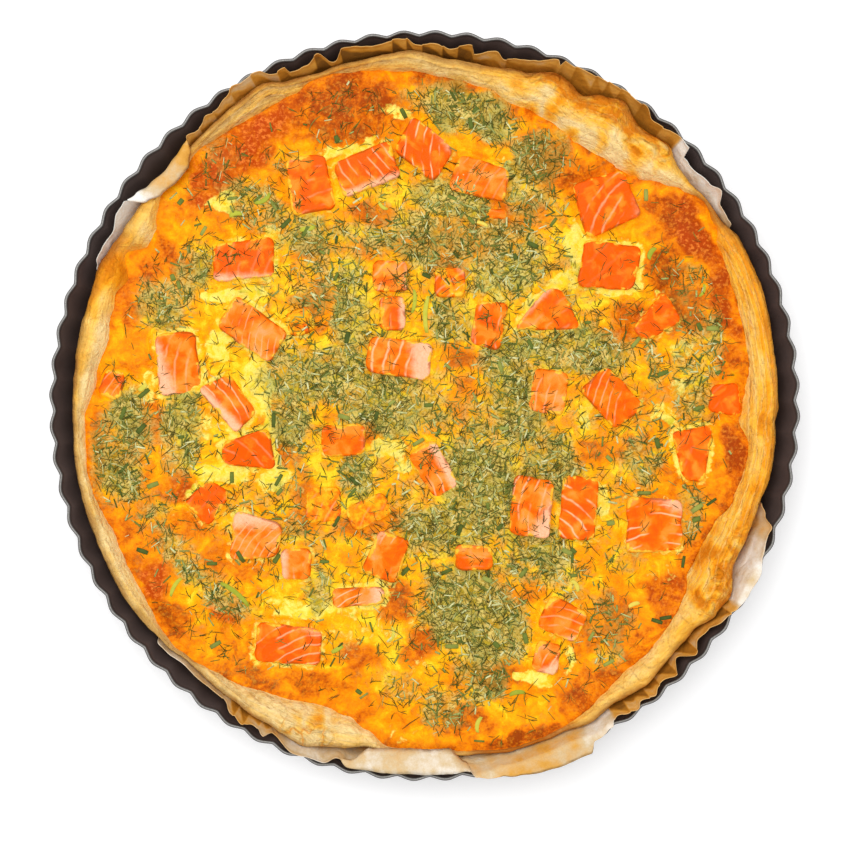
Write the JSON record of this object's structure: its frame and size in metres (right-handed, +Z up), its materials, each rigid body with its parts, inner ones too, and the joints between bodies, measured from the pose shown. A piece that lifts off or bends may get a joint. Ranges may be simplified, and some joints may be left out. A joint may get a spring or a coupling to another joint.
{
  "type": "salmon quiche in a fluted tin",
  "caption": "Round salmon quiche with dill and chives in a puff pastry case, lined with baking paper, in its fluted tin.",
  "frame": {"origin": "centre of the tin's flat underside", "axes": "+Z up, towards the custard; +Y towards the top of the view from above and +X towards its right"},
  "size_m": [0.2854, 0.2854, 0.034],
  "materials": {
    "tin": "dark non-stick coat, satin",
    "parchment": "baked paper, matt, browned in places",
    "crust": "baked puff pastry, flaky, dry",
    "filling": "baked egg custard with dill and chives, moist",
    "salmon": "cooked salmon, moist, pale fat lines"
  },
  "bodies": {
    "root": {"tin": "tin", "parchment": "parchment", "crust": "crust", "filling": "filling", "salmon_01": "salmon", "salmon_02": "salmon", "salmon_03": "salmon", "salmon_04": "salmon", "salmon_05": "salmon", "salmon_06": "salmon", "salmon_07": "salmon", "salmon_08": "salmon", "salmon_09": "salmon", "salmon_10": "salmon", "salmon_11": "salmon", "salmon_12": "salmon", "salmon_13": "salmon", "salmon_14": "salmon", "salmon_15": "salmon", "salmon_16": "salmon", "salmon_17": "salmon", "salmon_18": "salmon", "salmon_19": "salmon", "salmon_20": "salmon", "salmon_21": "salmon", "salmon_22": "salmon", "salmon_23": "salmon", "salmon_24": "salmon", "salmon_25": "salmon", "salmon_26": "salmon", "salmon_27": "salmon", "salmon_28": "salmon", "salmon_29": "salmon", "salmon_30": "salmon", "salmon_31": "salmon", "salmon_32": "salmon", "salmon_33": "salmon", "salmon_34": "salmon", "salmon_35": "salmon", "salmon_36": "salmon", "salmon_37": "salmon", "salmon_38": "salmon", "salmon_39": "salmon", "salmon_40": "salmon", "salmon_41": "salmon"}
  },
  "joints": []
}
